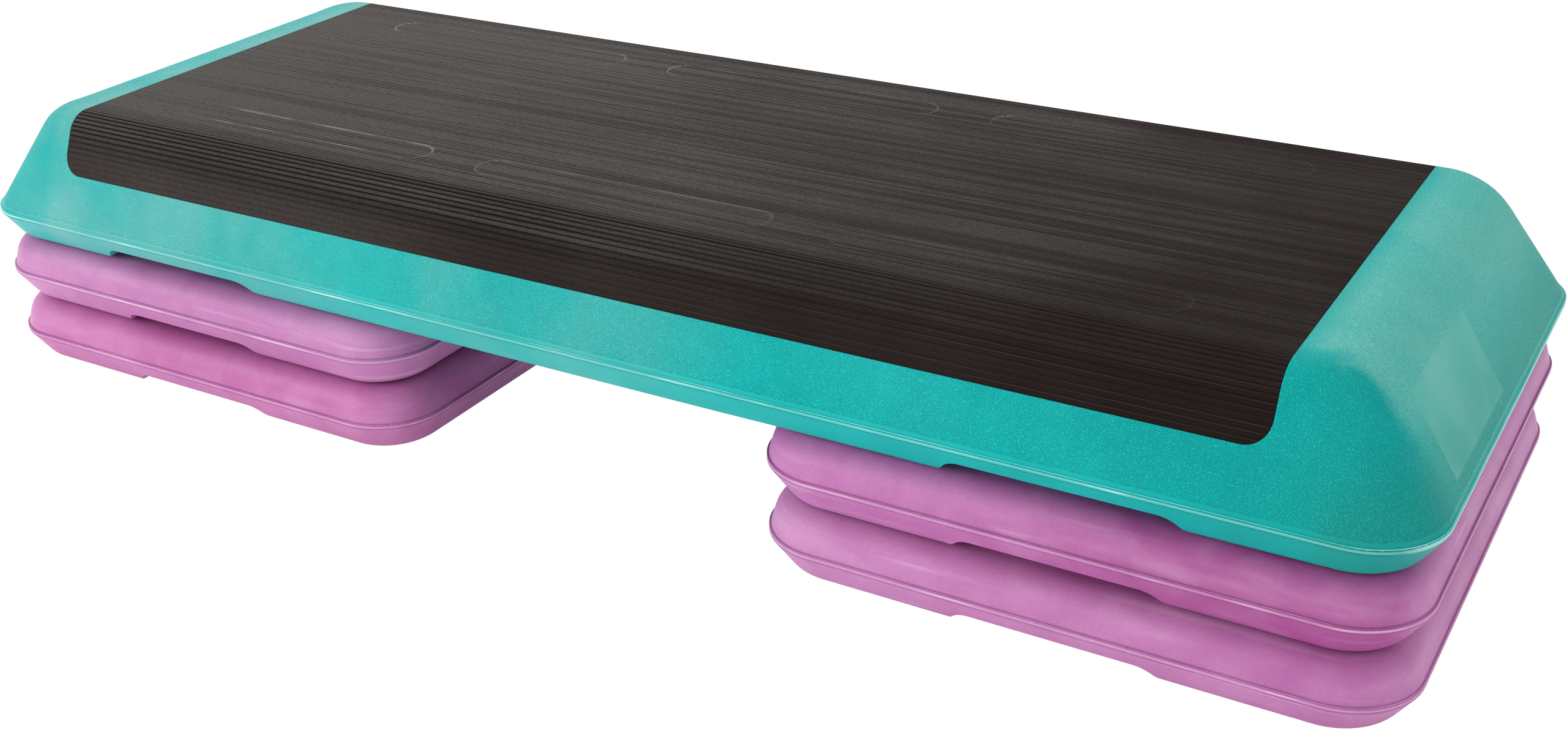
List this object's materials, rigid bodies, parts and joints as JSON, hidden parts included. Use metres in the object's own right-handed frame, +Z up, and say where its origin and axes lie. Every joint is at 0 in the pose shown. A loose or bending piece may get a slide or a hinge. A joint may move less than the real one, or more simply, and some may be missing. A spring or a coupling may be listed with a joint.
{
  "type": "aerobic step platform",
  "caption": "Aerobic step: long platform with a ribbed rubber tread on stacked square risers that nest under both ends and lift off to change its height.",
  "frame": {"origin": "on the floor under the middle of the platform", "axes": "+X along the platform's length, +Y across to the back, +Z up"},
  "size_m": [1.092, 0.406, 0.2032],
  "materials": {
    "teal_shell": "grained HDPE",
    "purple_riser": "satin HDPE",
    "tread_rubber": "ribbed rubber",
    "foot_rubber": "matt rubber"
  },
  "bodies": {
    "platform": {"platform_shell": "teal_shell", "tread_mat": "tread_rubber", "platform_foot_left_front_left": "foot_rubber", "platform_foot_left_front_right": "foot_rubber", "platform_foot_left_back_left": "foot_rubber", "platform_foot_left_back_right": "foot_rubber", "platform_foot_right_front_left": "foot_rubber", "platform_foot_right_front_right": "foot_rubber", "platform_foot_right_back_left": "foot_rubber", "platform_foot_right_back_right": "foot_rubber"},
    "left_upper_riser": {"riser_left_upper": "purple_riser", "riser_left_upper_foot_front_left": "foot_rubber", "riser_left_upper_foot_front_right": "foot_rubber", "riser_left_upper_foot_back_left": "foot_rubber", "riser_left_upper_foot_back_right": "foot_rubber"},
    "left_lower_riser": {"riser_left_lower": "purple_riser", "riser_left_lower_foot_front_left": "foot_rubber", "riser_left_lower_foot_front_right": "foot_rubber", "riser_left_lower_foot_back_left": "foot_rubber", "riser_left_lower_foot_back_right": "foot_rubber"},
    "right_upper_riser": {"riser_right_upper": "purple_riser", "riser_right_upper_foot_front_left": "foot_rubber", "riser_right_upper_foot_front_right": "foot_rubber", "riser_right_upper_foot_back_left": "foot_rubber", "riser_right_upper_foot_back_right": "foot_rubber"},
    "right_lower_riser": {"riser_right_lower": "purple_riser", "riser_right_lower_foot_front_left": "foot_rubber", "riser_right_lower_foot_front_right": "foot_rubber", "riser_right_lower_foot_back_left": "foot_rubber", "riser_right_lower_foot_back_right": "foot_rubber"}
  },
  "joints": [
    {"name": "left_upper_riser_lift", "type": "slide", "parent": "platform", "child": "left_upper_riser", "axis": [0, 0, -1], "range_m": [0, 0.1]},
    {"name": "left_lower_riser_lift", "type": "slide", "parent": "left_upper_riser", "child": "left_lower_riser", "axis": [0, 0, -1], "range_m": [0, 0.1]},
    {"name": "right_upper_riser_lift", "type": "slide", "parent": "platform", "child": "right_upper_riser", "axis": [0, 0, -1], "range_m": [0, 0.1]},
    {"name": "right_lower_riser_lift", "type": "slide", "parent": "right_upper_riser", "child": "right_lower_riser", "axis": [0, 0, -1], "range_m": [0, 0.1]}
  ]
}
